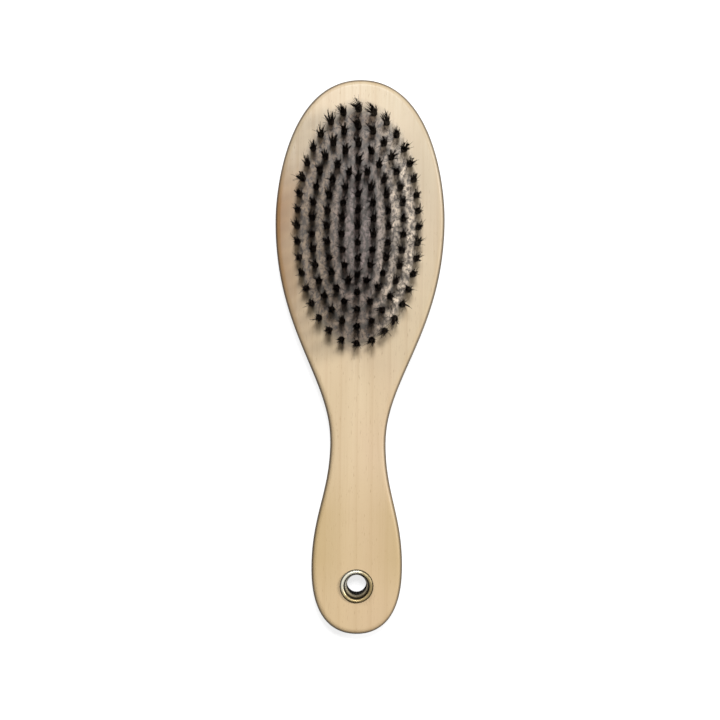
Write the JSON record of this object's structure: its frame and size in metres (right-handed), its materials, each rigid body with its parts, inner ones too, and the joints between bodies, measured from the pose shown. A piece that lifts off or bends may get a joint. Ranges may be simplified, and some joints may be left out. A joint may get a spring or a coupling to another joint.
{
  "type": "bristle brush",
  "caption": "Flat wooden pet brush with an oval field of stiff dark bristle tufts on one face and a metal hanging eyelet in the end of its handle.",
  "frame": {"origin": "middle of the paddle's length and width, on its flat back", "axes": "+Y from the handle to the head, +Z from the back to the bristle side, +X to the right as the bristles face the viewer with the head up"},
  "size_m": [0.0672, 0.22, 0.029],
  "materials": {
    "wood": "satin",
    "bristle": "satin",
    "brass": "polished"
  },
  "bodies": {
    "root": {"centre_row_tufts_01": "bristle", "centre_row_tufts_02": "bristle", "centre_row_tufts_03": "bristle", "eyelet_washer": "brass", "hanging_eyelet": "brass", "inner_ring_tufts_01": "bristle", "inner_ring_tufts_02": "bristle", "inner_ring_tufts_03": "bristle", "inner_ring_tufts_04": "bristle", "inner_ring_tufts_05": "bristle", "inner_ring_tufts_06": "bristle", "inner_ring_tufts_07": "bristle", "inner_ring_tufts_08": "bristle", "inner_ring_tufts_09": "bristle", "outer_ring_tufts_01": "bristle", "outer_ring_tufts_02": "bristle", "outer_ring_tufts_03": "bristle", "outer_ring_tufts_04": "bristle", "outer_ring_tufts_05": "bristle", "outer_ring_tufts_06": "bristle", "outer_ring_tufts_07": "bristle", "outer_ring_tufts_08": "bristle", "outer_ring_tufts_09": "bristle", "outer_ring_tufts_10": "bristle", "outer_ring_tufts_11": "bristle", "outer_ring_tufts_12": "bristle", "outer_ring_tufts_13": "bristle", "outer_ring_tufts_14": "bristle", "outer_ring_tufts_15": "bristle", "outer_ring_tufts_16": "bristle", "outer_ring_tufts_17": "bristle", "outer_ring_tufts_18": "bristle", "second_ring_tufts_01": "bristle", "second_ring_tufts_02": "bristle", "second_ring_tufts_03": "bristle", "second_ring_tufts_04": "bristle", "second_ring_tufts_05": "bristle", "second_ring_tufts_06": "bristle", "second_ring_tufts_07": "bristle", "second_ring_tufts_08": "bristle", "second_ring_tufts_09": "bristle", "second_ring_tufts_10": "bristle", "second_ring_tufts_11": "bristle", "second_ring_tufts_12": "bristle", "second_ring_tufts_13": "bristle", "second_ring_tufts_14": "bristle", "second_ring_tufts_15": "bristle", "third_ring_tufts_01": "bristle", "third_ring_tufts_02": "bristle", "third_ring_tufts_03": "bristle", "third_ring_tufts_04": "bristle", "third_ring_tufts_05": "bristle", "third_ring_tufts_06": "bristle", "third_ring_tufts_07": "bristle", "third_ring_tufts_08": "bristle", "third_ring_tufts_09": "bristle", "third_ring_tufts_10": "bristle", "third_ring_tufts_11": "bristle", "third_ring_tufts_12": "bristle", "wood_body": "wood"}
  },
  "joints": []
}
